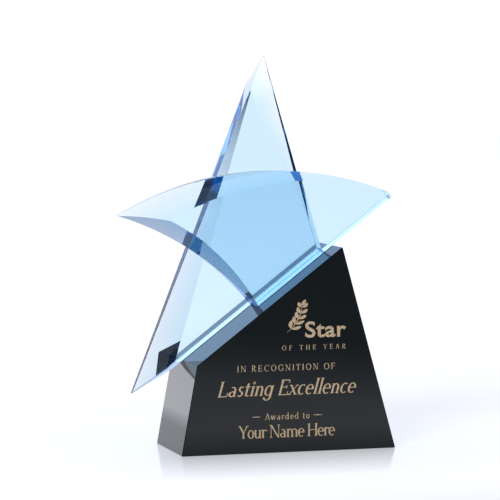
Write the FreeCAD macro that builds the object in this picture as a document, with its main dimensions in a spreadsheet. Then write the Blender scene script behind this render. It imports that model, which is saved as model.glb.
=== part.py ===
import FreeCAD
import Part
import math
import os
from types import SimpleNamespace

import Sketcher

# A star award of polished crystal on a black crystal base.
#
# The star is two flat crystals glued face to face: a tall leaning point behind and a crescent in
# front of it. Both stand glued on the slanted top of the base. The front of the base is etched,
# and the etching is filled with gold paint.
#
# Frame: millimetres, +Z up, +X to the right seen from the front, +Y away from the viewer. The
# origin is the centre of the base's underside.

DIMENSIONS = {
    # the base: a prism whose four-sided outline runs straight from front to back
    "base_width": 143.5,
    "base_depth": 62.4,
    "left_height": 57.5,
    "right_height": 131.2,
    "left_lean": 10.3,
    "right_lean": 36.3,
    "base_arris": 0.6,
    # both crystals, and the cured adhesive between them and under them
    "plate": 15.3,
    "film": 0.15,
    "joint_y": 3.2,
    # the tall point: its outline, the flat that its bevels leave on the back, and the height of
    # the side wall that the left bevel leaves at the foot
    "apex_x": -7.2,
    "apex_z": 254.0,
    "foot_x": -95.6,
    "foot_z": 37.0,
    "undercut_x": -68.8,
    "heel_x": 30.5,
    "flat_top_x": -12.8,
    "flat_top_z": 229.6,
    "flat_left_x": -64.2,
    "flat_right_x": 25.9,
    "flat_right_z": 143.5,
    "foot_land": 2.8,
    # the crescent: its outline, and the two cones that its bevels are ground on
    "horn_x": -105.6,
    "horn_z": 151.7,
    "tail_x": 75.2,
    "tail_top_x": 72.4,
    "tail_top_z": 165.2,
    "root_x": -16.0,
    "upper_radius": 205.5,
    "lower_radius": 184.3,
    "upper_cone_x": 18.2,
    "upper_cone_z": -12.6,
    "upper_cone_front": 185.6,
    "upper_cone_back": 207.9,
    "lower_cone_x": -137.8,
    "lower_cone_z": 23.6,
    "lower_cone_front": 140.6,
    "lower_cone_back": 131.2,
    # the etched artwork: depth, and how far the dried paint stands out of it
    "etch_depth": 0.3,
    "paint_rise": 0.05,
}

# Each etched field on the front: centre across, centre up, width, height.
FIELDS = {
    "emblem_fill": (5.0, 87.5, 14.0, 21.0),
    "crest_word_fill": (24.0, 78.6, 27.6, 10.5),
    "crest_line_fill": (16.3, 67.3, 43.0, 4.6),
    "heading_fill": (-2.4, 54.7, 65.4, 5.4),
    "title_fill": (-1.8, 40.6, 93.0, 17.0),
    "lead_in_fill": (-1.8, 23.5, 30.0, 4.4),
    "left_rule_fill": (-22.4, 23.5, 6.4, 0.8),
    "right_rule_fill": (18.8, 23.5, 6.4, 0.8),
    "recipient_fill": (-2.0, 13.9, 65.0, 8.5),
}

doc = FreeCAD.newDocument("StarAward")
sheet = doc.addObject("Spreadsheet::Sheet", "Sizes")


class Size:
    """A length with the number it has now and the sheet expression that drives it."""

    def __init__(self, value, text=None):
        self.value = float(value)
        self.text = repr(self.value) if text is None else text

    def _join(self, sign, other, value):
        return Size(value, f"({self.text} {sign} {other.text})")

    def __add__(self, other):
        other = as_size(other)
        return self._join("+", other, self.value + other.value)

    def __sub__(self, other):
        other = as_size(other)
        return self._join("-", other, self.value - other.value)

    def __mul__(self, other):
        other = as_size(other)
        return self._join("*", other, self.value * other.value)

    def __truediv__(self, other):
        other = as_size(other)
        return self._join("/", other, self.value / other.value)

    def __neg__(self):
        return Size(-self.value, f"(0 - {self.text})")

    def root(self):
        return Size(math.sqrt(self.value), f"sqrt({self.text})")


def as_size(number):
    return number if isinstance(number, Size) else Size(number)


def write_cell(row, name, value):
    sheet.set(f"A{row}", name)
    sheet.set(f"B{row}", str(value))
    sheet.setAlias(f"B{row}", name)
    return Size(value, f"Sizes.{name}")


def fill_sheet():
    """Writes every driving dimension to the sheet and hands each back as a Size."""
    named = dict(DIMENSIONS)
    for field, numbers in FIELDS.items():
        for part, number in zip(("across", "up", "wide", "high"), numbers):
            named[f"{field}_{part}"] = number
    cells = {
        name: write_cell(row, name, value)
        for row, (name, value) in enumerate(named.items(), start=1)
    }
    doc.recompute()
    return SimpleNamespace(**cells)


s = fill_sheet()


# ---- places worked out from the sheet ----

base_left_x = s.left_lean - s.base_width / 2
base_right_x = s.base_width / 2 - s.right_lean
slope = (s.right_height - s.left_height) / (base_right_x - base_left_x)
base_front_y = -(s.base_depth / 2)
base_back_y = s.base_depth / 2

# The films keep each crystal off what it is glued to.
film_rise = s.film * (slope * slope + 1).root()
crescent_front_y = s.joint_y - s.plate
tall_front_y = s.joint_y + s.film
tall_back_y = tall_front_y + s.plate


def on_slant(x, lift=Size(0)):
    """The point of the slanted top, or of its extension, at x, raised by lift."""
    x = as_size(x)
    return x, s.left_height + slope * (x - base_left_x) + lift


# ---- sketch and feature helpers ----


def new_body(label):
    body = doc.addObject("PartDesign::Body", label)
    body.Label = label
    return body


def new_sketch(body, role, name):
    """A sketch on one of the body's own origin planes."""
    plane = next(f for f in body.Origin.OriginFeatures if f.Role == role)
    sketch = body.newObject("Sketcher::SketchObject", name)
    sketch.AttachmentSupport = [(plane, "")]
    sketch.MapMode = "FlatFace"
    return sketch


def upright_sketch(body, name, y):
    """A sketch seen from the front, its x across and its y up, standing at depth y."""
    sketch = new_sketch(body, "XZ_Plane", name)
    sketch.setExpression("AttachmentOffset.Base.z", (-y).text)
    return sketch


def hold(sketch, edge, end, point):
    """Ties one end of an edge to a point given by two sizes."""
    for kind, length in zip(("DistanceX", "DistanceY"), point):
        rule = Sketcher.Constraint(kind, -1, 1, edge, end, length.value)
        index = sketch.addConstraint(rule)
        sketch.setExpression(f"Constraints[{index}]", length.text)


def arc_between(start, end, radius):
    """The shorter arc that runs anticlockwise from start to end."""
    (x0, y0), (x1, y1) = ((p[0].value, p[1].value) for p in (start, end))
    half = math.hypot(x1 - x0, y1 - y0) / 2
    reach = math.sqrt(radius.value**2 - half**2)
    centre_x = (x0 + x1) / 2 - (y1 - y0) / (2 * half) * reach
    centre_y = (y0 + y1) / 2 + (x1 - x0) / (2 * half) * reach
    circle = Part.Circle()
    circle.Center = FreeCAD.Vector(centre_x, centre_y, 0)
    circle.Radius = radius.value
    first = math.atan2(y0 - centre_y, x0 - centre_x)
    last = math.atan2(y1 - centre_y, x1 - centre_x)
    return Part.ArcOfCircle(circle, first, last)


def outline(sketch, corners, arcs=None):
    """Draws a closed outline. arcs maps a corner's number to the radius of the arc that leaves it,
    positive where the arc runs anticlockwise to the next corner and negative where it runs back."""
    arcs = arcs or {}
    following = corners[1:] + corners[:1]
    for index, (start, end) in enumerate(zip(corners, following)):
        radius = arcs.get(index)
        if radius is None:
            ends = [FreeCAD.Vector(p[0].value, p[1].value, 0) for p in (start, end)]
            edge = sketch.addGeometry(Part.LineSegment(*ends))
            hold(sketch, edge, 1, start)
            continue
        forwards = radius.value > 0
        size = radius if forwards else -radius
        first, last = (start, end) if forwards else (end, start)
        edge = sketch.addGeometry(arc_between(first, last, size))
        hold(sketch, edge, 1, first)
        hold(sketch, edge, 2, last)
        rule = sketch.addConstraint(Sketcher.Constraint("Radius", edge, size.value))
        sketch.setExpression(f"Constraints[{rule}]", size.text)
    tie_ends(sketch, len(corners), arcs)


def tie_ends(sketch, count, arcs):
    """Each straight edge ends where the next edge starts; an arc's own ends are held already."""
    for index in range(count):
        if index in arcs:
            continue
        after = (index + 1) % count
        start = 2 if after in arcs and arcs[after].value < 0 else 1
        sketch.addConstraint(Sketcher.Constraint("Coincident", index, 2, after, start))


def rectangle(across, up, wide, high):
    left, right = across - wide / 2, across + wide / 2
    low, top = up - high / 2, up + high / 2
    return [(left, low), (right, low), (right, top), (left, top)]


def pad(body, sketch, length):
    """Thickens a sketch towards the viewer."""
    feature = body.newObject("PartDesign::Pad", f"{sketch.Name}Pad")
    feature.Profile = sketch
    feature.setExpression("Length", length.text)
    return feature


def must_shrink(body, before, what):
    """A cut that points the wrong way removes nothing and shows no error."""
    doc.recompute()
    if not body.Shape.Volume < before - 0.01:
        raise RuntimeError(f"{what} removed nothing")


# ---- outlines ----


def tall_outline():
    """Apex, foot, undercut and heel, anticlockwise. The heel and undercut lie on the slant."""
    return [
        (s.apex_x, s.apex_z),
        (s.foot_x, s.foot_z),
        on_slant(s.undercut_x, film_rise),
        on_slant(s.heel_x, film_rise),
    ]


def draw_crescent(sketch):
    """Horn, root, tail and blunt tail end, with a hollow lower arc and a bulging upper one."""
    corners = [
        (s.horn_x, s.horn_z),
        on_slant(s.root_x, film_rise),
        on_slant(s.tail_x, film_rise),
        (s.tail_top_x, s.tail_top_z),
    ]
    outline(sketch, corners, {0: -s.lower_radius, 3: s.upper_radius})


# ---- the pieces ----


def make_base():
    """The black block: outline from front to back, polished arrises, then the etched fields."""
    body = new_body("base_block")
    sketch = upright_sketch(body, "BaseOutline", base_back_y)
    corners = [
        (-(s.base_width / 2), Size(0)),
        (s.base_width / 2, Size(0)),
        (base_right_x, s.right_height),
        (base_left_x, s.left_height),
    ]
    outline(sketch, corners)
    block = pad(body, sketch, s.base_depth)
    doc.recompute()
    before = body.Shape.Volume
    arris = body.newObject("PartDesign::Chamfer", "BaseArris")
    arris.Base = (block, [])
    arris.UseAllEdges = True
    arris.setExpression("Size", s.base_arris.text)
    must_shrink(body, before, "BaseArris")
    for name in FIELDS:
        etch(body, name)
    return body


def field_corners(name):
    parts = (getattr(s, f"{name}_{part}") for part in ("across", "up", "wide", "high"))
    return rectangle(*parts)


def etch(body, name):
    """Sinks one field into the front of the base."""
    before = body.Shape.Volume
    sketch = upright_sketch(body, f"{name}_etch", base_front_y)
    outline(sketch, field_corners(name))
    pocket = body.newObject("PartDesign::Pocket", f"{name}_pocket")
    pocket.Profile = sketch
    pocket.setExpression("Length", s.etch_depth.text)
    must_shrink(body, before, pocket.Name)


def make_fill(name):
    """The gold paint in one field."""
    body = new_body(name)
    sketch = upright_sketch(body, f"{name}_outline", base_front_y + s.etch_depth)
    outline(sketch, field_corners(name))
    pad(body, sketch, s.etch_depth + s.paint_rise)
    return body


def make_tall_point():
    """The tall crystal: its outline a plate thick, with two bevels ground on the back."""
    body = new_body("tall_point")
    sketch = upright_sketch(body, "TallOutline", tall_back_y)
    outline(sketch, tall_outline())
    pad(body, sketch, s.plate)
    flat_top = (s.flat_top_x, s.flat_top_z)
    left_end = on_slant(s.flat_left_x)
    right_end = (s.flat_right_x, s.flat_right_z)
    grind_straight(body, "LeftBevel", left_end, flat_top, (s.foot_x, s.foot_z), s.foot_land)
    grind_straight(body, "RightBevel", right_end, flat_top, (s.apex_x, s.apex_z), Size(0))
    return body


def grind_straight(body, name, low, high, edge_point, land):
    """Cuts the flat bevel that holds the line low-high on the back face and the point that is the
    land's height behind edge_point on the front face. The cutter's section lies square to the
    line, and its local x points right."""
    doc.recompute()
    before = body.Shape.Volume
    run, climb = high[0] - low[0], high[1] - low[1]
    length = (run * run + climb * climb).root()
    reach = ((edge_point[0] - low[0]) * climb - (edge_point[1] - low[1]) * run) / length
    overshoot = 1.0
    land_y = tall_front_y + land
    sketch = new_sketch(body, "XY_Plane", name)
    lean = math.degrees(math.atan2(run.value, climb.value))
    turn = FreeCAD.Rotation(FreeCAD.Vector(0, 1, 0), lean)
    sketch.AttachmentOffset = FreeCAD.Placement(FreeCAD.Vector(), turn)
    sketch.setExpression("AttachmentOffset.Rotation.Angle", f"atan({(run / climb).text})")
    sketch.setExpression("AttachmentOffset.Base.x", low[0].text)
    sketch.setExpression("AttachmentOffset.Base.z", low[1].text)
    corners = [
        (-(reach / (s.plate - land)) * overshoot, tall_back_y + overshoot),
        (reach, land_y),
        (reach * 3, land_y),
        (reach * 3, tall_back_y + overshoot),
    ]
    outline(sketch, corners)
    pocket = body.newObject("PartDesign::Pocket", f"{name}Cut")
    pocket.Profile = sketch
    pocket.SideType = "Symmetric"
    pocket.setExpression("Length", (s.apex_z * 3).text)
    must_shrink(body, before, name)


def make_crescent():
    """The front crystal: its outline a plate thick, with two conical bevels ground on the front."""
    body = new_body("crescent")
    draw_crescent(upright_sketch(body, "CrescentOutline", s.joint_y))
    pad(body, body.Group[-1], s.plate)
    upper = (s.upper_cone_x, s.upper_cone_z, s.upper_cone_front, s.upper_cone_back)
    lower = (s.lower_cone_x, s.lower_cone_z, s.lower_cone_front, s.lower_cone_back)
    grind_round(body, "UpperBevel", upper, 80)
    grind_round(body, "LowerBevel", lower, -80)
    return body


def grind_round(body, name, cone, band):
    """Cuts away one side of a cone whose axis runs from front to back: band is how far the cutter
    reaches from the cone, outwards if positive and inwards if negative."""
    doc.recompute()
    before = body.Shape.Volume
    centre_x, centre_z, front_radius, back_radius = cone
    overshoot = 1.0
    taper = (back_radius - front_radius) / s.plate
    sketch = new_sketch(body, "XY_Plane", name)
    sketch.setExpression("AttachmentOffset.Base.x", centre_x.text)
    sketch.setExpression("AttachmentOffset.Base.z", centre_z.text)
    front, back = crescent_front_y - overshoot, s.joint_y + overshoot
    near_front = front_radius - taper * overshoot
    near_back = back_radius + taper * overshoot
    corners = [
        (near_front, front),
        (front_radius + band, front),
        (front_radius + band, back),
        (near_back, back),
    ]
    outline(sketch, corners)
    groove = body.newObject("PartDesign::Groove", f"{name}Cut")
    groove.Profile = sketch
    groove.ReferenceAxis = (sketch, ["V_Axis"])
    groove.Angle = 360
    must_shrink(body, before, name)


def make_star_film():
    """The adhesive between the crystals, where their outlines overlap."""
    film_back_y = s.joint_y + s.film
    behind = new_body("film_in_tall_outline")
    outline(upright_sketch(behind, "FilmTall", film_back_y), tall_outline())
    pad(behind, behind.Group[-1], s.film)
    before = new_body("film_in_crescent_outline")
    draw_crescent(upright_sketch(before, "FilmCrescent", film_back_y))
    pad(before, before.Group[-1], s.film)
    common = doc.addObject("Part::Common", "star_film")
    common.Base = before
    common.Tool = behind
    return common


def make_foot_film(name, start_x, end_x, back_y):
    """The adhesive between the slanted top of the base and one crystal."""
    body = new_body(name)
    sketch = upright_sketch(body, f"{name}_outline", back_y)
    corners = [
        on_slant(start_x),
        on_slant(end_x),
        on_slant(end_x, film_rise),
        on_slant(start_x, film_rise),
    ]
    outline(sketch, corners)
    pad(body, sketch, s.plate)
    return body


def check(pieces):
    """Stops on any object that failed and on any piece without a sound solid."""
    for thing in doc.Objects:
        if {"Invalid", "Error"} & set(thing.State):
            raise RuntimeError(f"{thing.Label} failed: {thing.State}")
    for piece in pieces:
        shape = piece.Shape
        if shape.isNull() or not shape.isValid() or len(shape.Solids) != 1:
            raise RuntimeError(f"{piece.Label} is not one sound solid")


def main():
    clear_of_arris = s.base_arris * 2
    pieces = [
        make_base(),
        make_tall_point(),
        make_crescent(),
        make_star_film(),
        make_foot_film("tall_foot_film", base_left_x + clear_of_arris, s.heel_x, tall_back_y),
        make_foot_film(
            "crescent_foot_film",
            s.root_x + clear_of_arris * 2,
            base_right_x - clear_of_arris,
            s.joint_y,
        ),
    ]
    pieces += [make_fill(name) for name in FIELDS]
    doc.recompute()
    check(pieces)
    os.makedirs("parts", exist_ok=True)
    for piece in pieces:
        piece.Shape.exportStep(f"parts/{piece.Label}.step")
        print(f"{piece.Label}: {piece.Shape.Volume:.1f} cubic mm, {piece.Shape.BoundBox}")


main()
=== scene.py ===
"""A star award: two pale blue polished crystals glued face to face on a black crystal base.

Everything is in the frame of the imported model: metres, +Z up, +X to the right seen from the
front, +Y away from the viewer, the origin at the centre of the base's underside.
"""

import math

import bmesh
import bpy
import numpy as np
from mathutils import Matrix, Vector


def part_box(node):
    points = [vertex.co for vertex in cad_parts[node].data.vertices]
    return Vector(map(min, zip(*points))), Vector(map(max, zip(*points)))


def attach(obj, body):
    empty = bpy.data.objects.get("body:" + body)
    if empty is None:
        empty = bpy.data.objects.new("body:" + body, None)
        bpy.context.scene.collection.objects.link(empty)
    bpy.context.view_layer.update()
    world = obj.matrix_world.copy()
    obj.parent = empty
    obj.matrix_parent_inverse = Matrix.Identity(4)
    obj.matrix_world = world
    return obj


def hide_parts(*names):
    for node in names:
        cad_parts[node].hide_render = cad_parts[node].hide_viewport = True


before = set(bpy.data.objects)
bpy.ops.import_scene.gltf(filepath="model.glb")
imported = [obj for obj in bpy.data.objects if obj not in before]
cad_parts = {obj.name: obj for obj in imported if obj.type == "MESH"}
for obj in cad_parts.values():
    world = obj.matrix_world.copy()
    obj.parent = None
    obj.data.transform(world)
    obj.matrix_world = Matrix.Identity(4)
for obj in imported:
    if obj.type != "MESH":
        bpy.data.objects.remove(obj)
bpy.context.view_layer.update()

MM = 0.001

# ---- driving sizes, in millimetres; a point is how far across and how far up ----

BASE_WIDTH, BASE_DEPTH = 143.5, 62.4
LEFT_HEIGHT, RIGHT_HEIGHT = 57.5, 131.2
LEFT_LEAN, RIGHT_LEAN = 10.3, 36.3

PLATE, FILM = 15.3, 0.15
JOINT_Y = 3.2
CRESCENT_FRONT_Y = JOINT_Y - PLATE
TALL_FRONT_Y = JOINT_Y + FILM
TALL_BACK_Y = TALL_FRONT_Y + PLATE

APEX, FOOT = (-7.2, 254.0), (-95.6, 37.0)
UNDERCUT_X, HEEL_X = -68.8, 30.5
FLAT_TOP, FLAT_RIGHT, FLAT_LEFT_X = (-12.8, 229.6), (25.9, 143.5), -64.2
FOOT_LAND = 2.8

HORN, TAIL_TOP = (-105.6, 151.7), (72.4, 165.2)
ROOT_X, TAIL_X = -16.0, 75.2
UPPER_RADIUS, LOWER_RADIUS = 205.5, 184.3
UPPER_CONE, UPPER_CONE_RADIUS = (18.2, -12.6), 185.6
LOWER_CONE, LOWER_CONE_RADIUS = (-137.8, 23.6), 140.6
HORN_LAND = 1.5

BASE_ARRIS, CRYSTAL_ARRIS = 0.6, 0.3
STROKE_STEP = 0.002

# ---- limits used on every mesh: metres, and radians between faces ----

MERGE = 1e-7
SHARP_EDGE, SMOOTH_EDGE = math.radians(15), math.radians(8)

# ---- camera: aim and lens in millimetres, distance in metres ----

CAMERA_TURN, CAMERA_TILT = math.radians(16.598), math.radians(4.190)
CAMERA_AIM = (-26.6, -BASE_DEPTH / 2, 130.5)
CAMERA_DISTANCE, CAMERA_LENS = 1.7775, 201.6

# ---- worked out from the sizes ----

BASE_LEFT_X = LEFT_LEAN - BASE_WIDTH / 2
BASE_RIGHT_X = BASE_WIDTH / 2 - RIGHT_LEAN
SLOPE = (RIGHT_HEIGHT - LEFT_HEIGHT) / (BASE_RIGHT_X - BASE_LEFT_X)
FILM_RISE = FILM * math.hypot(1, SLOPE)


def on_slant(x, lift=0.0):
    """The point at x on the slanted top, or on its extension, raised by lift."""
    return np.array([x, LEFT_HEIGHT + SLOPE * (x - BASE_LEFT_X) + lift])


# ---- shader helpers ----


def linear(code):
    """An sRGB hex colour such as "c8aa82" as linear red, green, blue and alpha."""
    channels = [int(code[i : i + 2], 16) / 255 for i in (0, 2, 4)]
    below = [c / 12.92 for c in channels]
    above = [((c + 0.055) / 1.055) ** 2.4 for c in channels]
    return [b if c <= 0.04045 else a for c, b, a in zip(channels, below, above)] + [1.0]


def node(tree, kind, settings=None, **inputs):
    """Adds a node. settings are its own properties. Each input is named with underscores for
    spaces, or by its number after an i; it takes a value, a socket or a node's first output."""
    made = tree.nodes.new(kind)
    for name, value in (settings or {}).items():
        setattr(made, name, value)
    for name, value in inputs.items():
        key = int(name[1:]) if name[0] == "i" and name[1:].isdigit() else name.replace("_", " ")
        source = value.outputs[0] if isinstance(value, bpy.types.Node) else value
        if isinstance(source, bpy.types.NodeSocket):
            tree.links.new(source, made.inputs[key])
        else:
            made.inputs[key].default_value = source
    return made


def new_material(name):
    """An empty node material, and the piece's own coordinates in metres for its patterns."""
    material = bpy.data.materials.new(name)
    material.use_nodes = True
    tree = material.node_tree
    tree.nodes.clear()
    return material, tree, node(tree, "ShaderNodeTexCoord").outputs["Object"]


# ---- materials ----


def polished_blue_crystal():
    """Optical crystal glass with a trace of cobalt and copper, ground and polished. The eye sees
    sky blue where it looks through, deep blue along the plate, and a faint polishing haze."""
    material, tree, where = new_material("polished_blue_crystal")
    smears = node(tree, "ShaderNodeTexNoise", Vector=where, Scale=1 / (18 * MM), Detail=2.0)
    haze = node(
        tree, "ShaderNodeMapRange",
        Value=smears, From_Min=0.45, From_Max=0.7, To_Min=0.0, To_Max=0.012,
    )
    glass = node(
        tree, "ShaderNodeBsdfPrincipled",
        Base_Color=linear("ffffff"), Roughness=haze, IOR=1.52, Transmission_Weight=1.0,
    )
    body = node(tree, "ShaderNodeVolumeAbsorption", Color=linear("38d9fd"), Density=23.5)
    node(tree, "ShaderNodeOutputMaterial", Surface=glass, Volume=body)
    return material


def polished_black_crystal():
    """Opaque black optical glass, lapped flat and polished. The eye sees a dark mirror that picks
    up the pale floor and the side light, broken by a faint haze where a cloth has wiped it."""
    material, tree, where = new_material("polished_black_crystal")
    wipes = node(tree, "ShaderNodeTexNoise", Vector=where, Scale=1 / (25 * MM), Detail=2.0)
    haze = node(
        tree, "ShaderNodeMapRange",
        Value=wipes, From_Min=0.35, From_Max=0.7, To_Min=0.015, To_Max=0.05,
    )
    glass = node(
        tree, "ShaderNodeBsdfPrincipled",
        Base_Color=linear("071113"), Roughness=haze, IOR=1.42,
    )
    node(tree, "ShaderNodeOutputMaterial", Surface=glass)
    return material


def gold_fill_paint():
    """Gold enamel rubbed into the sandblasted etching. The eye sees warm tan letters, satin, with
    fine metal flake that catches the light unevenly."""
    material, tree, where = new_material("gold_fill_paint")
    grains = node(tree, "ShaderNodeTexNoise", Vector=where, Scale=1 / (0.5 * MM), Detail=2.0)
    flake = node(tree, "ShaderNodeMapRange", Value=grains, From_Min=0.4, From_Max=0.6)
    colour = node(
        tree, "ShaderNodeMix", {"data_type": "RGBA"},
        i0=flake, i6=linear("d8b482"), i7=linear("f8e2c2"),
    )
    satin = node(tree, "ShaderNodeMapRange", Value=flake, To_Min=0.35, To_Max=0.6)
    paint = node(
        tree, "ShaderNodeBsdfPrincipled",
        Base_Color=colour.outputs["Result"], Roughness=satin, Metallic=0.25,
    )
    node(tree, "ShaderNodeOutputMaterial", Surface=paint)
    return material


def cured_adhesive():
    """Clear adhesive cured under ultraviolet light, of nearly the crystal's own index. The eye
    sees no joint, only a slight unevenness along the glue line."""
    material, tree, where = new_material("cured_adhesive")
    ripples = node(tree, "ShaderNodeTexNoise", Vector=where, Scale=1 / (6 * MM), Detail=2.0)
    haze = node(
        tree, "ShaderNodeMapRange",
        Value=ripples, From_Min=0.5, From_Max=0.8, To_Min=0.0, To_Max=0.03,
    )
    glue = node(
        tree, "ShaderNodeBsdfPrincipled",
        Base_Color=linear("f4faff"), Roughness=haze, IOR=1.5, Transmission_Weight=1.0,
    )
    node(tree, "ShaderNodeOutputMaterial", Surface=glue)
    return material


def stage_floor_paint():
    """Smooth white acrylic sheet with painted light: an emission painted on it by position glows
    brightest on the left and behind, and fades to plain white towards the front and the right. It
    mirrors the base faintly where it stands."""
    material, tree, where = new_material("stage_floor_paint")
    # The limits on x and y are metres from the middle of the base.
    x, y, _ = node(tree, "ShaderNodeSeparateXYZ", Vector=where).outputs
    # Painted light: the glow's strength is painted by position. It is zero far in front and rises
    # towards the base. It is a little stronger behind, up to 1.8 times on the left, and fades out
    # to the right.
    front = node(
        tree, "ShaderNodeMapRange",
        Value=y, From_Min=-0.8, From_Max=-0.18, To_Min=0.0, To_Max=0.79,
    )
    back = node(
        tree, "ShaderNodeMapRange",
        Value=y, From_Min=0.2, From_Max=0.8, To_Min=1.04, To_Max=1.22,
    )
    across = node(
        tree, "ShaderNodeMath", {"operation": "MULTIPLY_ADD"}, i0=y, i1=-0.42, i2=x,
    )
    right = node(
        tree, "ShaderNodeMapRange",
        Value=across, From_Min=0.24, From_Max=0.55, To_Min=1.0, To_Max=0.0,
    )
    left = node(
        tree, "ShaderNodeMapRange",
        Value=x, From_Min=-0.2, From_Max=-0.3, To_Min=1.0, To_Max=1.8,
    )
    strength = front
    for share in (back, left, right):
        strength = node(tree, "ShaderNodeMath", {"operation": "MULTIPLY"}, i0=strength, i1=share)
    matt = node(tree, "ShaderNodeBsdfDiffuse", Color=linear("f0f0f2"))
    # The painted glow: an emission laid on the floor itself, not a lamp.
    glow = node(tree, "ShaderNodeEmission", Color=linear("f8f9ff"), Strength=strength)
    lit = node(tree, "ShaderNodeAddShader", i0=matt, i1=glow)
    # How far a point lies outside the base's footprint.
    corner = (BASE_WIDTH / 2 * MM, BASE_DEPTH / 2 * MM, 0)
    offset = node(tree, "ShaderNodeVectorMath", {"operation": "ABSOLUTE"}, i0=where)
    for step, limit in (("SUBTRACT", corner), ("MAXIMUM", (0, 0, 0))):
        offset = node(tree, "ShaderNodeVectorMath", {"operation": step}, i0=offset, i1=limit)
    away = node(tree, "ShaderNodeVectorMath", {"operation": "LENGTH"}, i0=offset)
    wiped = node(
        tree, "ShaderNodeMapRange",
        Value=away.outputs["Value"], From_Min=0.0, From_Max=0.1, To_Min=0.48, To_Max=0.0,
    )
    shine = node(tree, "ShaderNodeBsdfGlossy", Color=linear("ffffff"), Roughness=0.12)
    both = node(tree, "ShaderNodeMixShader", Fac=wiped, i1=lit, i2=shine)
    node(tree, "ShaderNodeOutputMaterial", Surface=both)
    return material


# ---- mesh helpers ----


def mesh_piece(name, points, faces, material, arris=0.0, smooth=False):
    """A closed piece from points in millimetres. Points that coincide are merged, faces are
    turned outwards, and every sharp edge is broken by a flat arris of the given width."""
    mesh = bpy.data.meshes.new(name)
    mesh.from_pydata((np.asarray(points, float) * MM).tolist(), [], faces)
    shell = bmesh.new()
    shell.from_mesh(mesh)
    bmesh.ops.remove_doubles(shell, verts=shell.verts, dist=MERGE)
    bmesh.ops.dissolve_degenerate(shell, dist=MERGE, edges=shell.edges)
    bmesh.ops.recalc_face_normals(shell, faces=shell.faces)
    if arris:
        sharp = [e for e in shell.edges if e.calc_face_angle(0) > SHARP_EDGE]
        bmesh.ops.bevel(
            shell, geom=sharp, offset=arris * MM, segments=1, affect="EDGES",
            clamp_overlap=True, offset_type="WIDTH",
        )
    shell.to_mesh(mesh)
    shell.free()
    if smooth:
        mesh.shade_smooth()
        mesh.set_sharp_from_angle(angle=SMOOTH_EDGE)
    return place(name, mesh, material)


def place(name, mesh, material):
    """An object for the mesh, at the origin and unturned, with its material."""
    mesh.materials.append(material)
    made = bpy.data.objects.new(name, mesh)
    bpy.context.scene.collection.objects.link(made)
    return made


def stand_for(piece, slot, *nodes):
    """The piece rides with the award and takes the place of these CAD nodes."""
    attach(piece, "root")
    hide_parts(*nodes)


def facet_solid(planes):
    """The convex solid inside a list of planes, each (outward normal, point on it). Every three
    planes meet in a point; the corners are the points outside no plane. A face is the corners on
    its plane, in order of their angle round its middle."""
    normals = np.array([n for n, _ in planes], float)
    normals /= np.linalg.norm(normals, axis=1)[:, None]
    offsets = np.einsum("ij,ij->i", normals, np.array([p for _, p in planes], float))
    count = len(planes)
    triples = np.array([
        (a, b, c) for a in range(count) for b in range(a + 1, count) for c in range(b + 1, count)
    ])
    sides = normals[triples]
    meets = np.abs(np.linalg.det(sides)) > 1e-6
    corners = np.linalg.solve(sides[meets], offsets[triples[meets]][..., None])[..., 0]
    inside = np.all(corners @ normals.T <= offsets + 1e-5, axis=1)
    corners = np.unique(np.round(corners[inside], 5), axis=0)
    faces = []
    for normal, offset in zip(normals, offsets):
        on_plane = np.flatnonzero(np.abs(corners @ normal - offset) < 1e-3)
        spokes = corners[on_plane] - corners[on_plane].mean(0)
        across = spokes[0] / np.linalg.norm(spokes[0])
        angles = np.arctan2(spokes @ np.cross(normal, across), spokes @ across)
        faces.append(on_plane[np.argsort(angles)].tolist())
    return corners, faces


def side_plane(start, end):
    """The plane that stands on the line from start to end of an anticlockwise outline."""
    (x0, z0), (x1, z1) = start, end
    return (z1 - z0, 0, -(x1 - x0)), (x0, 0, z0)


def side_planes(outline):
    """The planes that stand on every side of a closed anticlockwise outline."""
    return [side_plane(a, b) for a, b in zip(outline, outline[1:] + outline[:1])]


# ---- the pieces ----


def make_base():
    """The black block: four side planes of the outline, a front plane and a back plane."""
    half = BASE_WIDTH / 2
    outline = [
        (-half, 0.0),
        (half, 0.0),
        (BASE_RIGHT_X, RIGHT_HEIGHT),
        (BASE_LEFT_X, LEFT_HEIGHT),
    ]
    planes = side_planes(outline)
    planes += [((0, -1, 0), (0, -BASE_DEPTH / 2, 0)), ((0, 1, 0), (0, BASE_DEPTH / 2, 0))]
    piece = mesh_piece(
        "polished_base", *facet_solid(planes), polished_black_crystal(), BASE_ARRIS
    )
    stand_for(piece, "black_crystal", "base_block")


def bevel_plane(low, high, edge_point, land=0.0):
    """The plane through the line low-high on the back face and the point that stands the height
    of the land behind a corner of the front face."""
    a = np.array([low[0], TALL_BACK_Y, low[1]])
    b = np.array([high[0], TALL_BACK_Y, high[1]])
    c = np.array([edge_point[0], TALL_FRONT_Y + land, edge_point[1]])
    normal = np.cross(b - a, c - a)
    return normal * np.sign(normal[1]), a


def make_tall_point(material):
    """The tall crystal: the planes of its outline, its two faces and its two back bevels. The
    outline bends inwards at the undercut, so the undercut is a plane of its own."""
    undercut = on_slant(UNDERCUT_X, FILM_RISE)
    outline = [APEX, FOOT, tuple(undercut), tuple(on_slant(HEEL_X, FILM_RISE))]
    planes = side_planes(outline)
    planes += [
        ((0, -1, 0), (0, TALL_FRONT_Y, 0)),
        ((0, 1, 0), (0, TALL_BACK_Y, 0)),
        bevel_plane(on_slant(FLAT_LEFT_X), FLAT_TOP, FOOT, FOOT_LAND),
        bevel_plane(FLAT_RIGHT, FLAT_TOP, APEX),
    ]
    piece = mesh_piece("tall_point_polished", *facet_solid(planes), material, CRYSTAL_ARRIS)
    stand_for(piece, "blue_crystal", "tall_point")


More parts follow.
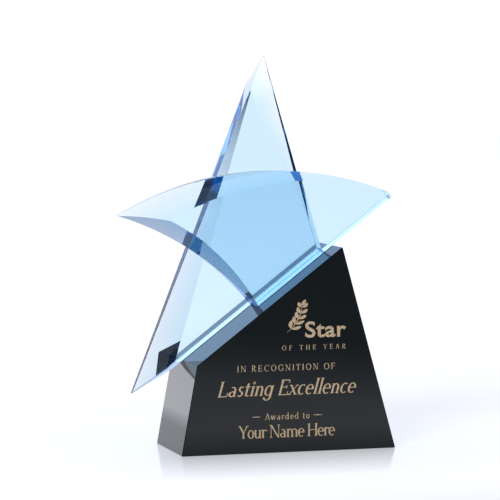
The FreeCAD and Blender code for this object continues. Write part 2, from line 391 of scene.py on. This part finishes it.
def arc_centre(start, end, radius):
    """The centre of the arc that runs anticlockwise from start to end: from the middle of the
    chord, to the left by the root of the radius squared less half the chord squared."""
    start, end = np.array(start), np.array(end)
    chord = end - start
    length = np.hypot(*chord)
    left = np.array([-chord[1], chord[0]]) / length
    return (start + end) / 2 + left * math.sqrt(radius**2 - (length / 2) ** 2)


def out_to_circle(start, towards, centre, radius):
    """Where rays from one point through others leave a circle. With the ray's unit way and the
    gap from the centre, the reach is minus their product plus the root of its square, less the
    gap squared, plus the radius squared."""
    ways = towards - start
    ways /= np.linalg.norm(ways, axis=-1, keepdims=True)
    gap = np.asarray(start) - centre
    along = ways @ gap
    reach = -along + np.sqrt(along**2 - gap @ gap + radius**2)
    return start + ways * reach[..., None]


def circle_meets_circle(c1, r1, c2, r2):
    """The upper crossing of two circles, for arrays of radii. Along the line of centres it lies
    at the distance squared plus one radius squared less the other, over twice the distance; the
    height over that line follows from the first radius."""
    c1, c2 = np.asarray(c1), np.asarray(c2)
    apart = np.hypot(*(c2 - c1))
    ex = (c2 - c1) / apart
    ey = np.array([-ex[1], ex[0]])
    ey *= np.sign(ey[1])
    x = (apart**2 + r1**2 - r2**2) / (2 * apart)
    y = np.sqrt(r1**2 - x**2)
    return c1 + x[..., None] * ex + y[..., None] * ey


def circle_meets_line(centre, radius, start, end):
    """Where a circle crosses the line from start to end, nearest to start."""
    start, end = np.asarray(start), np.asarray(end)
    way = (end - start) / np.hypot(*(end - start))
    gap = start - centre
    along = way @ gap
    root = math.sqrt(along**2 - gap @ gap + radius**2)
    return start + way * min((-along - root, -along + root), key=abs)


def bevel_rows(cone, front_radius, taper, arc, arc_radius, inner, inner_y):
    """Rows of one ground bevel. From each point of the inner border a line runs straight down the
    cone to the outline, where its depth is the growth of the cone's radius over the taper, and
    then square through the wall to the joint face."""
    outer = out_to_circle(np.array(cone), inner, arc, arc_radius)
    spread = np.linalg.norm(outer - cone, axis=1)
    outer_y = CRESCENT_FRONT_Y + (spread - front_radius) / taper
    return [
        np.column_stack([inner[:, 0], inner_y, inner[:, 1]]),
        np.column_stack([outer[:, 0], outer_y, outer[:, 1]]),
        np.column_stack([outer[:, 0], np.full(len(outer), JOINT_Y), outer[:, 1]]),
    ]


def on_arc(centre, radius, start, end, count):
    """Points of a circle between two of its points, both ends included."""
    a, b = (math.atan2(p[1] - centre[1], p[0] - centre[0]) for p in (start, end))
    angles = np.linspace(a, b, count)
    return np.array(centre) + radius * np.column_stack([np.cos(angles), np.sin(angles)])


def make_crescent(material):
    """The front crystal. Two cones on axes square to the plate cut its bevels. At each depth
    their circles cross on the ridge that runs out to the horn; past the ridge each bevel's inner
    border is its cone's circle on the front face."""
    root, tail = on_slant(ROOT_X, FILM_RISE), on_slant(TAIL_X, FILM_RISE)
    upper_arc = arc_centre(TAIL_TOP, HORN, UPPER_RADIUS)
    lower_arc = arc_centre(root, HORN, LOWER_RADIUS)
    rise = PLATE - HORN_LAND
    upper_taper = (math.dist(HORN, UPPER_CONE) - UPPER_CONE_RADIUS) / rise
    lower_taper = (math.dist(HORN, LOWER_CONE) - LOWER_CONE_RADIUS) / rise
    ridge_steps, upper_steps, lower_steps = 24, 160, 100
    depth = np.linspace(rise, 0, ridge_steps)
    ridge = circle_meets_circle(
        UPPER_CONE, UPPER_CONE_RADIUS + upper_taper * depth,
        LOWER_CONE, LOWER_CONE_RADIUS + lower_taper * depth,
    )
    upper_end = circle_meets_line(UPPER_CONE, UPPER_CONE_RADIUS, TAIL_TOP, tail)
    lower_end = circle_meets_line(LOWER_CONE, LOWER_CONE_RADIUS, root, tail)
    upper_border = on_arc(UPPER_CONE, UPPER_CONE_RADIUS, ridge[-1], upper_end, upper_steps)
    lower_border = on_arc(LOWER_CONE, LOWER_CONE_RADIUS, ridge[-1], lower_end, lower_steps)
    rows = []
    for cone, radius, taper, border, arc, arc_radius in (
        (UPPER_CONE, UPPER_CONE_RADIUS, upper_taper, upper_border, upper_arc, UPPER_RADIUS),
        (LOWER_CONE, LOWER_CONE_RADIUS, lower_taper, lower_border, lower_arc, LOWER_RADIUS),
    ):
        inner = np.vstack([ridge, border[1:]])
        inner_y = np.full(len(inner), CRESCENT_FRONT_Y)
        inner_y[:ridge_steps] += depth
        rows.append(bevel_rows(cone, radius, taper, arc, arc_radius, inner, inner_y))
    join_crescent(rows, tail, ridge_steps, material)


def join_crescent(rows, tail, ridge_steps, material):
    """Joins both bevels' rows, the front face, the joint face, the foot and the blunt tail."""
    points, faces, numbers = [], [], []
    for border in rows:
        block = np.vstack(border)
        start = len(points)
        points += block.tolist()
        count = len(border[0])
        grid = start + np.arange(3 * count).reshape(3, count)
        numbers.append(grid)
        for a, b in ((0, 1), (1, 2)):
            quads = np.column_stack([grid[a, :-1], grid[a, 1:], grid[b, 1:], grid[b, :-1]])
            faces += quads.tolist()
    upper, lower = numbers
    tail_front = len(points)
    points += [[tail[0], CRESCENT_FRONT_Y, tail[1]], [tail[0], JOINT_Y, tail[1]]]
    first = ridge_steps - 1
    front = upper[0, first:].tolist() + [tail_front] + lower[0, first + 1 :][::-1].tolist()
    back = upper[2].tolist() + [tail_front + 1] + lower[2, 1:][::-1].tolist()
    foot = [lower[2, -1], lower[1, -1], lower[0, -1], tail_front, tail_front + 1]
    end = [tail_front + 1, tail_front, upper[0, -1], upper[1, -1], upper[2, -1]]
    faces += [front, back, np.array(foot).tolist(), np.array(end).tolist()]
    piece = mesh_piece("crescent_polished", points, faces, material, CRYSTAL_ARRIS, True)
    stand_for(piece, "blue_crystal", "crescent")


def field_middle(name):
    """Half the width and height of an etched field, and its middle, in millimetres."""
    low, high = np.array(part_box(name)) / MM
    return (high - low)[[0, 2]] / 2, (high + low)[[0, 2]] / 2


def paint_piece(name, flat, faces, material, inset=0.0):
    """Paint that fills an etched figure: its outline points, drawn flat, repeated at the paint's
    surface and at the bottom of the etching, with a wall between the two. Both ends are drawn in
    by the inset, which is one length or one for each point."""
    front, back = (y / MM for y in (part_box(name)[0][1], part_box(name)[1][1]))
    count = len(flat)
    inset = np.broadcast_to(inset, count)
    depths = np.concatenate([front + inset, back - inset])
    points = np.column_stack([np.tile(flat[:, 0], 2), depths, np.tile(flat[:, 1], 2)])
    edges = {}
    for face in faces:
        for a, b in zip(face, face[1:] + face[:1]):
            edges[a, b] = None
    walls = [(a, b, b + count, a + count) for a, b in edges if (b, a) not in edges]
    backs = [[i + count for i in reversed(face)] for face in faces]
    piece = mesh_piece(name.replace("_fill", "_paint"), points, faces + walls + backs, material)
    stand_for(piece, "gold_paint", name)


def lay_strokes(strokes):
    """Joins outlines into their points, their faces and an inset for each point. The inset grows
    by STROKE_STEP from one outline to the next, over a run of eight, so crossing strokes share
    no surface."""
    run = 8
    lengths = [len(stroke) for stroke in strokes]
    starts = np.cumsum([0] + lengths)
    faces = [list(range(a, b)) for a, b in zip(starts, starts[1:])]
    inset = np.repeat(np.arange(len(strokes)) % run * STROKE_STEP, lengths)
    return np.vstack(strokes), faces, inset


def make_crest_word(name, words, material):
    """The crest's short word in the built-in face, thickened and stretched to fill its field."""
    curve = bpy.data.curves.new("words", "FONT")
    curve.body = words
    curve.space_character = 1.05
    curve.offset = 0.02
    curve.resolution_u = 6
    text = bpy.data.objects.new("words", curve)
    mesh = bpy.data.meshes.new_from_object(text)
    flat = np.empty(len(mesh.vertices) * 3, np.float32)
    mesh.vertices.foreach_get("co", flat)
    faces = [list(face.vertices) for face in mesh.polygons]
    bpy.data.objects.remove(text)
    bpy.data.meshes.remove(mesh)
    bpy.data.curves.remove(curve)
    paint_piece(name, fit(flat.reshape(-1, 3)[:, :2], name), faces, material)


def fit(flat, name):
    """Flat points centred on a field and stretched across and up until they fill it."""
    half, middle = field_middle(name)
    flat = flat - (flat.min(0) + flat.max(0)) / 2
    return flat * half / flat.max(0) + middle


# ---- a roman letterform drawn from its strokes; a capital is one unit tall ----

THICK, HAIR, SMALL = 0.13, 0.055, 0.64
SERIF_REACH, BOWL_POINTS = 0.13, 20


def bar(x0, y0, x1, y1, width=THICK):
    """A straight stroke between two points: each end is a line of the stroke's width, level when
    the stroke is steep and upright when it isn't."""
    steep = abs(y1 - y0) > abs(x1 - x0) * 0.5
    shift = np.array([width / 2, 0] if steep else [0, width / 2])
    a, b = np.array([x0, y0]), np.array([x1, y1])
    return [np.array([a - shift, a + shift, b + shift, b - shift])]


def serif(x, y):
    """A short level foot whose underside or top lies on the line at y."""
    inner = HAIR if y <= 0 else -HAIR
    root = THICK / 2
    wide = [(x - SERIF_REACH, y), (x + SERIF_REACH, y)]
    narrow = [(x + root, y + inner), (x - root, y + inner)]
    return [np.array(wide + narrow)]


def stem(x, low=0.0, high=1.0, foot=True, head=True):
    """An upright thick stroke with its serifs."""
    marks = bar(x, low, x, high)
    marks += serif(x, low) if foot else []
    return marks + (serif(x, high) if head else [])


def bowl(x, y, wide, tall, start=0, end=360):
    """The band between an ellipse of the given half width and half height and one a THICK
    narrower and a HAIR lower, from one angle to another in degrees. A ring is drawn as two
    halves, because one face can't close on itself."""
    bands = []
    ring = 300
    cuts = [start, end] if end - start < ring else [start, (start + end) / 2, end]
    for first, last in zip(cuts, cuts[1:]):
        turn = np.radians(np.linspace(first, last, BOWL_POINTS))
        ways = np.column_stack([np.cos(turn), np.sin(turn)])
        outer = ways * (wide, tall)
        inner = ways * (wide - THICK, tall - HAIR)
        bands.append(np.vstack([outer, inner[::-1]]) + (x, y))
    return bands


def tick(x, y, reach):
    """The thin upright end of a level arm, reaching up or down from it."""
    return bar(x, y, x, y + reach, HAIR)


def arm(x0, y, x1, end=0.0):
    """A level hairline whose far end carries a tick."""
    return bar(x0, y, x1, y, HAIR) + (tick(x1, y, end) if end else [])


def arch(x):
    """The shoulder of a small n, ending in a stem at x."""
    return bowl(x - 0.17, 0.38, 0.235, 0.27, 0, 140) + stem(x, 0, 0.4, head=False)


# Each letter has its width and its strokes, in heights of a capital.
LETTERS = {
    " ": (0.36, []),
    "A": (0.78, bar(0.06, 0, 0.38, 1, HAIR * 1.3) + bar(0.38, 1, 0.7, 0)
          + arm(0.16, 0.34, 0.58) + serif(0.06, 0) + serif(0.7, 0)),
    "C": (0.84, bowl(0.46, 0.5, 0.44, 0.52, 48, 312) + tick(0.77, 0.98, -0.28)),
    "E": (0.72, stem(0.14) + arm(0.1, 0.975, 0.6, -0.2) + arm(0.1, 0.52, 0.5, 0.1)
          + arm(0.1, 0.025, 0.64, 0.22) + tick(0.5, 0.52, -0.1)),
    "F": (0.68, stem(0.14) + arm(0.1, 0.975, 0.62, -0.22) + arm(0.1, 0.52, 0.5, 0.1)
          + tick(0.5, 0.52, -0.1)),
    "G": (0.9, bowl(0.46, 0.5, 0.44, 0.52, 48, 312) + tick(0.77, 0.98, -0.28)
          + stem(0.76, 0.06, 0.46, foot=False)),
    "H": (0.88, stem(0.14) + stem(0.72) + arm(0.14, 0.5, 0.72)),
    "I": (0.32, stem(0.16)),
    "L": (0.7, stem(0.14) + arm(0.1, 0.025, 0.64, 0.26)),
    "N": (0.9, bar(0.14, 0, 0.14, 1, HAIR) + bar(0.76, 0, 0.76, 1, HAIR) + bar(0.14, 1, 0.74, 0)
          + serif(0.14, 0) + serif(0.1, 1) + serif(0.76, 1)),
    "O": (0.92, bowl(0.46, 0.5, 0.44, 0.52)),
    "R": (0.78, stem(0.14) + bowl(0.3, 0.75, 0.3, 0.25, -90, 90) + arm(0.14, 0.975, 0.32)
          + arm(0.14, 0.52, 0.32) + bar(0.34, 0.52, 0.68, 0) + serif(0.7, 0)),
    "T": (0.76, stem(0.38) + arm(0.38, 0.975, 0.72, -0.22) + arm(0.38, 0.975, 0.04, -0.22)),
    "Y": (0.76, bar(0.08, 1, 0.38, 0.44) + bar(0.7, 1, 0.38, 0.44, HAIR * 1.3)
          + stem(0.38, 0, 0.46, head=False) + serif(0.08, 1) + serif(0.7, 1)),
    "a": (0.6, bowl(0.26, 0.42, 0.22, 0.22, 0, 125) + bowl(0.27, 0.17, 0.23, 0.185)
          + stem(0.43, 0, 0.44, head=False)),
    "c": (0.54, bowl(0.3, 0.32, 0.27, 0.34, 50, 310)),
    "d": (0.68, bowl(0.3, 0.32, 0.27, 0.34) + stem(0.51, 0, 1.04)),
    "e": (0.58, bowl(0.3, 0.32, 0.27, 0.34, 0, 310) + arm(0.1, 0.35, 0.55)),
    "g": (0.66, bowl(0.3, 0.32, 0.27, 0.34) + stem(0.51, -0.08, SMALL, foot=False)
          + bowl(0.3, -0.08, 0.275, 0.24, 190, 360)),
    "i": (0.32, stem(0.16, 0, SMALL) + bowl(0.15, 0.86, 0.09, 0.09)),
    "l": (0.32, stem(0.16, 0, 1.04)),
    "m": (1.02, stem(0.16, 0, SMALL) + arch(0.5) + arch(0.86)),
    "n": (0.66, stem(0.16, 0, SMALL) + arch(0.5)),
    "o": (0.6, bowl(0.3, 0.32, 0.27, 0.34)),
    "p": (0.68, stem(0.16, -0.3, SMALL) + bowl(0.37, 0.32, 0.27, 0.34)),
    "r": (0.46, stem(0.16, 0, SMALL) + bowl(0.36, 0.42, 0.2, 0.22, 35, 140)),
    "s": (0.48, bowl(0.24, 0.485, 0.18, 0.17, 30, 265) + bowl(0.23, 0.165, 0.2, 0.185, -150, 85)),
    "t": (0.42, stem(0.18, 0.04, 0.84, False, False) + arm(0.02, 0.615, 0.38)
          + bowl(0.27, 0.12, 0.155, 0.14, 180, 320)),
    "u": (0.66, stem(0.14, 0.22, SMALL, foot=False) + bowl(0.31, 0.24, 0.235, 0.26, 190, 350)
          + stem(0.5, 0, SMALL, head=False) + serif(0.5, SMALL)),
    "w": (0.86, bar(0.08, SMALL, 0.24, 0) + bar(0.42, SMALL, 0.24, 0, HAIR)
          + bar(0.42, SMALL, 0.6, 0) + bar(0.78, SMALL, 0.6, 0, HAIR)
          + serif(0.08, SMALL) + serif(0.42, SMALL) + serif(0.78, SMALL)),
    "x": (0.6, bar(0.08, SMALL, 0.5, 0) + bar(0.5, SMALL, 0.08, 0, HAIR) + serif(0.08, SMALL)
          + serif(0.5, SMALL) + serif(0.08, 0) + serif(0.5, 0)),
}


def set_words(words, tracking, slant):
    """The strokes of a line of words: each letter follows the last by its own width and the
    tracking, and every point leans right by slant times its height."""
    strokes, reach = [], 0.0
    for letter in words:
        width, marks = LETTERS[letter]
        strokes += [mark + (reach, 0) for mark in marks]
        reach += width + tracking
    flat, faces, inset = lay_strokes(strokes)
    flat[:, 0] += slant * flat[:, 1]
    return flat, faces, inset


def make_lettering(name, words, capital, material, slant=0.0):
    """One line of roman lettering with capitals of the given height in millimetres, tracked out
    until it fills its field's width."""
    half, middle = field_middle(name)
    width = np.ptp(set_words(words, 0.0, slant)[0][:, 0])
    tracking = (2 * half[0] / capital - width) / (len(words) - 1)
    flat, faces, inset = set_words(words, tracking, slant)
    flat = (flat - (flat.min(0) + flat.max(0)) / 2) * capital + middle
    paint_piece(name, flat, faces, material, inset)


def blade(root, tip, width, bow=0.0, steps=14):
    """A pointed blade from root to tip. Its midline is a shallow parabola bowed to the left by
    bow times the length, and its half width is a sine along it."""
    root, tip = np.array(root), np.array(tip)
    way = tip - root
    left = np.array([-way[1], way[0]])
    u = np.linspace(0, 1, steps)[:, None]
    midline = root + way * u + left * bow * 4 * u * (1 - u)
    side = left / np.hypot(*left) * width / 2 * np.sin(np.pi * u) ** 0.8
    return np.vstack([(midline - side), (midline + side)[-2:0:-1]])


def make_laurel(name, material):
    """A laurel sprig, stretched to fill its field. Pairs of leaves sit along a bowed stem; each
    opens by a fixed angle from the stem's direction, which turns evenly from root to tip, and
    they shorten towards the tip. The last leaf points on from the stem."""
    root, tip, bow = np.array([-0.35, -1.0]), np.array([0.45, 0.75]), 0.09
    leaf_pairs, leaf_width, opening, turning = 5, 0.2, math.radians(33), 0.36
    way = tip - root
    blades = [blade(root, tip, 0.055, -bow, 24)]
    for height in np.linspace(0.14, 0.9, leaf_pairs):
        foot = root + way * height
        foot += np.array([way[1], -way[0]]) * bow * 4 * height * (1 - height)
        lean = math.atan2(way[1], way[0]) - turning * (1 - 2 * height)
        length = 0.62 - 0.2 * height
        for turn in (opening, -opening):
            out = np.array([math.cos(lean + turn), math.sin(lean + turn)])
            blades.append(blade(foot + out * 0.05, foot + out * length, leaf_width, turn * 0.12))
    blades.append(blade((0.42, 0.72), (0.62, 1.1), leaf_width * 0.9))
    flat, faces, inset = lay_strokes(blades)
    paint_piece(name, fit(flat, name), faces, material, inset)


def make_rule(name, material):
    """A fine rule beside the small line of lettering, tapered to a point at both ends."""
    half, middle = field_middle(name)
    ends = middle - (half[0], 0), middle + (half[0], 0)
    outline = blade(*ends, half[1] * 1.3, 0.0, 20)
    paint_piece(name, outline, [list(range(len(outline)))], material)


def make_film(name, across, stretch, material):
    """A film of adhesive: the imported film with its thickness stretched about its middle. Each
    point moves along the film's normal by its height over the middle, times the stretch less
    one. Over 1 the film laps into both crystals, so that light passes; under 1 it stands a hair
    clear, so that the foot mirrors what is round it."""
    mesh = bpy.data.meshes.new(name + "_cured")
    shell = bmesh.new()
    shell.from_mesh(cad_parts[name].data)
    bmesh.ops.remove_doubles(shell, verts=shell.verts, dist=MERGE * 10)
    bmesh.ops.recalc_face_normals(shell, faces=shell.faces)
    shell.to_mesh(mesh)
    shell.free()
    points = np.empty(len(mesh.vertices) * 3, np.float32)
    mesh.vertices.foreach_get("co", points)
    points = points.reshape(-1, 3)
    normal = np.array(across) / np.linalg.norm(across)
    height = points @ normal
    middle = (height.min() + height.max()) / 2
    points = points + ((height - middle) * (stretch - 1))[:, None] * normal
    mesh.vertices.foreach_set("co", points.astype(np.float32).ravel())
    stand_for(place(name + "_cured", mesh, material), "adhesive", name)


# ---- stage, light and camera ----


def make_stage():
    """A pale floor, wide enough to fill the view from every side."""
    half = 6.0
    mesh = bpy.data.meshes.new("floor")
    corners = [(-half, -half, 0), (half, -half, 0), (half, half, 0), (-half, half, 0)]
    mesh.from_pydata(corners, [], [(0, 1, 2, 3)])
    place("floor", mesh, stage_floor_paint())


def make_world():
    """Even white light from all round, as in a lined tent. Seen from the award it is dark in
    front above the floor, dimmer towards the top and the right, and bluer higher up, with one
    bright panel high behind."""
    world = bpy.data.worlds.new("light_tent")
    world.use_nodes = True
    tree = world.node_tree
    tree.nodes.clear()
    # The limits on x, y and z are parts of a direction one unit long: right, away and up.
    direction = node(tree, "ShaderNodeTexCoord").outputs["Generated"]
    x, y, z = node(tree, "ShaderNodeSeparateXYZ", Vector=direction).outputs
    rise = node(
        tree, "ShaderNodeMapRange",
        Value=z, From_Min=0.1, From_Max=0.6, To_Min=1.03, To_Max=0.45,
    )
    right = node(
        tree, "ShaderNodeMapRange",
        Value=x, From_Min=0.6, From_Max=0.9, To_Min=1.0, To_Max=0.6,
    )
    left = node(
        tree, "ShaderNodeMapRange",
        Value=x, From_Min=-0.25, From_Max=-0.5, To_Min=1.0, To_Max=0.25,
    )
    sides = node(tree, "ShaderNodeMath", {"operation": "MULTIPLY"}, i0=left, i1=right)
    tent = node(tree, "ShaderNodeMath", {"operation": "MULTIPLY"}, i0=rise, i1=sides)
    soft, panel = 0.06, 0.7
    for value, low, high in ((x, -0.14, 0.14), (z, 0.2, 0.42)):
        for outside, inside in ((low - soft, low), (high + soft, high)):
            edge = node(
                tree, "ShaderNodeMapRange", Value=value, From_Min=outside, From_Max=inside,
            )
            panel = node(tree, "ShaderNodeMath", {"operation": "MULTIPLY"}, i0=panel, i1=edge)
    tent = node(tree, "ShaderNodeMath", {"operation": "ADD"}, i0=tent, i1=panel)
    dim_front = node(
        tree, "ShaderNodeMapRange",
        Value=z, From_Min=0.03, From_Max=0.2, To_Min=0.35, To_Max=0.03,
    )
    behind = node(
        tree, "ShaderNodeMapRange",
        Value=y, From_Min=0.1, From_Max=0.75, To_Min=0.0, To_Max=1.0,
    )
    level = node(tree, "ShaderNodeMix", Factor=behind, A=dim_front, B=tent)
    height = node(tree, "ShaderNodeMapRange", Value=z, From_Min=0.05, From_Max=0.3)
    gain = node(tree, "ShaderNodeMapRange", Value=height, To_Min=1.04, To_Max=1.22)
    strength = node(tree, "ShaderNodeMath", {"operation": "MULTIPLY"}, i0=level, i1=gain)
    colour = node(
        tree, "ShaderNodeMix", {"data_type": "RGBA"},
        i0=height, i6=linear("f8f9ff"), i7=linear("cbdfff"),
    )
    light = node(
        tree, "ShaderNodeBackground", Color=colour.outputs["Result"], Strength=strength,
    )
    node(tree, "ShaderNodeOutputWorld", Surface=light)
    scene = bpy.context.scene
    scene.world = world
    scene.view_settings.view_transform = "Standard"
    scene.cycles.max_bounces = 32
    scene.cycles.transmission_bounces = 32
    scene.cycles.glossy_bounces = 24
    # Light that crosses both crystals is followed to its end, or the mirrored strip turns grainy.
    scene.cycles.min_light_bounces = 16


def make_key_light():
    """A wide softbox high in front on the left, which lights the painted lettering and shows in
    no polished face."""
    light = bpy.data.lights.new("softbox", "AREA")
    light.shape = "DISK"
    light.size = 0.9
    light.energy = 20
    lamp = bpy.data.objects.new("softbox", light)
    lamp.location = (-1.5, -1.6, 1.7)
    aim = Vector((0, 0, 0.1)) - lamp.location
    lamp.rotation_euler = aim.to_track_quat("-Z", "Y").to_euler()
    lamp.visible_glossy = False
    lamp.visible_transmission = False
    bpy.context.scene.collection.objects.link(lamp)


def make_camera():
    """A long lens, a little to the left of the award and a little above its middle."""
    level = math.cos(CAMERA_TILT)
    ahead = np.array([
        math.sin(CAMERA_TURN) * level, math.cos(CAMERA_TURN) * level, -math.sin(CAMERA_TILT)
    ])
    lens = bpy.data.cameras.new("camera")
    lens.lens = CAMERA_LENS
    camera = bpy.data.objects.new("camera", lens)
    camera.location = np.array(CAMERA_AIM) * MM - ahead * CAMERA_DISTANCE
    camera.rotation_euler = (math.pi / 2 - CAMERA_TILT, 0, -CAMERA_TURN)
    bpy.context.scene.collection.objects.link(camera)
    bpy.context.scene.camera = camera


def main():
    """The pieces from the base up, then the stage, the light and the camera."""
    make_base()
    blue = polished_blue_crystal()
    make_tall_point(blue)
    make_crescent(blue)
    glue, gold = cured_adhesive(), gold_fill_paint()
    make_film("star_film", (0, 1, 0), 1.3, glue)
    make_film("tall_foot_film", (-SLOPE, 0, 1), 0.5, glue)
    make_film("crescent_foot_film", (-SLOPE, 0, 1), 0.5, glue)
    make_laurel("emblem_fill", gold)
    make_rule("left_rule_fill", gold)
    make_rule("right_rule_fill", gold)
    make_crest_word("crest_word_fill", "Star", gold)
    make_lettering("crest_line_fill", "OF THE YEAR", 3.1, gold)
    make_lettering("heading_fill", "IN RECOGNITION OF", 4.0, gold)
    make_lettering("title_fill", "Lasting Excellence", 9.8, gold, slant=0.27)
    make_lettering("lead_in_fill", "Awarded to", 4.1, gold)
    make_lettering("recipient_fill", "Your Name Here", 8.2, gold)
    make_stage()
    make_world()
    make_key_light()
    make_camera()


main()
